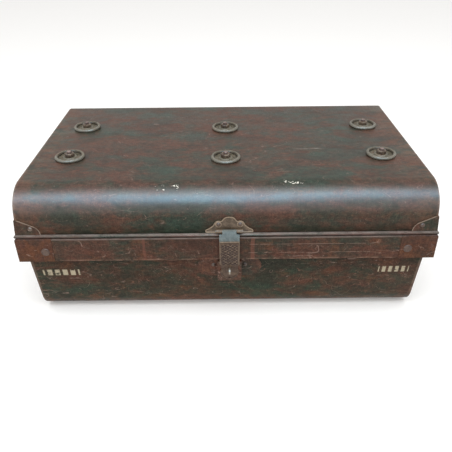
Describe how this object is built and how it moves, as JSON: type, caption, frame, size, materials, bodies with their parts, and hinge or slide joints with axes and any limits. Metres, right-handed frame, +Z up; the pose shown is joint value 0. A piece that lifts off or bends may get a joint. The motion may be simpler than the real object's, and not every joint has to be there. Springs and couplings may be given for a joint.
{
  "type": "steel travel trunk",
  "caption": "Painted pressed-steel travel trunk: tapered base with a rim band, round-shouldered hinged lid with bolted cup washers, a hasp over a padlock staple, and drop handles on the ends.",
  "frame": {"origin": "on the floor, at the middle of the trunk's flat underside", "axes": "+X along the trunk to the right as seen from the hasp side, +Y from the hasp side to the hinge side, +Z up"},
  "size_m": [0.7742, 0.5119, 0.2965],
  "materials": {
    "base_sheet": "worn semi-gloss green paint over red-brown primer",
    "rim_band": "worn paint, mostly red-brown primer and rust",
    "band_corner": "worn paint with orange-brown rust",
    "band_rivet": "worn paint, bare steel on the rims",
    "staple_plate": "worn paint over steel",
    "staple": "bare steel, tarnished",
    "rivet": "worn paint, bare steel on the crowns",
    "hinge": "worn paint over steel",
    "pin": "dull steel",
    "handle_plate": "worn paint over steel",
    "handle": "worn paint rubbed to steel",
    "lid_sheet": "worn semi-gloss green paint over red-brown primer, finely scratched",
    "rim_wire": "drawn steel wire, hidden in the rolled rim",
    "lid_corner": "worn paint over steel",
    "cup_washer": "worn paint, bright steel on the rolled rim",
    "nut": "rusted steel with paint in the corners",
    "bolt": "rusted steel",
    "inner_strap": "primer",
    "hasp": "worn paint, bright steel on the raised edges"
  },
  "bodies": {
    "base": {"base_wrap": "base_sheet", "base_end_left": "base_sheet", "base_end_right": "base_sheet", "band_front": "rim_band", "band_back": "rim_band", "band_left": "rim_band", "band_right": "rim_band", "band_corner_front_left": "band_corner", "band_corner_front_right": "band_corner", "band_corner_back_left": "band_corner", "band_corner_back_right": "band_corner", "band_corner_rivets": "band_rivet", "staple_plate": "staple_plate", "padlock_staple": "staple", "staple_plate_rivets": "rivet", "hinge_base_leaf_left": "hinge", "hinge_base_leaf_right": "hinge", "hinge_pin_left": "pin", "hinge_pin_right": "pin", "hinge_base_rivets": "rivet", "handle_plate_left": "handle_plate", "handle_plate_right": "handle_plate", "handle_rivets": "rivet"},
    "lid": {"lid_wrap": "lid_sheet", "lid_end_left": "lid_sheet", "lid_end_right": "lid_sheet", "lid_rim_wire": "rim_wire", "lid_corner_front_left": "lid_corner", "lid_corner_front_right": "lid_corner", "lid_corner_back_left": "lid_corner", "lid_corner_back_right": "lid_corner", "lid_corner_rivets": "rivet", "cup_washer_front_left": "cup_washer", "cup_washer_front_middle": "cup_washer", "cup_washer_front_right": "cup_washer", "cup_washer_back_left": "cup_washer", "cup_washer_back_middle": "cup_washer", "cup_washer_back_right": "cup_washer", "washer_nuts": "nut", "washer_bolts": "bolt", "lid_strap_left": "inner_strap", "lid_strap_middle": "inner_strap", "lid_strap_right": "inner_strap", "hasp_plate": "hasp", "hasp_plate_rivets": "rivet", "hasp_pin": "pin", "hinge_lid_leaf_left": "hinge", "hinge_lid_leaf_right": "hinge", "hinge_lid_rivets": "rivet"},
    "hasp": {"hasp_strap": "hasp"},
    "handle_left": {"handle_left": "handle"},
    "handle_right": {"handle_right": "handle"}
  },
  "joints": [
    {"name": "lid_hinge", "type": "hinge", "parent": "base", "child": "lid", "pos_m": [0, 0.2475, 0.191], "axis": [-1, 0, 0], "range_deg": [0, 100]},
    {"name": "hasp_hinge", "type": "hinge", "parent": "lid", "child": "hasp", "pos_m": [0.005, -0.2435, 0.2045], "axis": [-1, 0, 0], "range_deg": [0, 140]},
    {"name": "handle_left_swing", "type": "hinge", "parent": "base", "child": "handle_left", "pos_m": [-0.38054, 0, 0.112], "axis": [0, 1, 0], "range_deg": [0, 95]},
    {"name": "handle_right_swing", "type": "hinge", "parent": "base", "child": "handle_right", "pos_m": [0.38054, 0, 0.112], "axis": [0, -1, 0], "range_deg": [0, 95]}
  ]
}
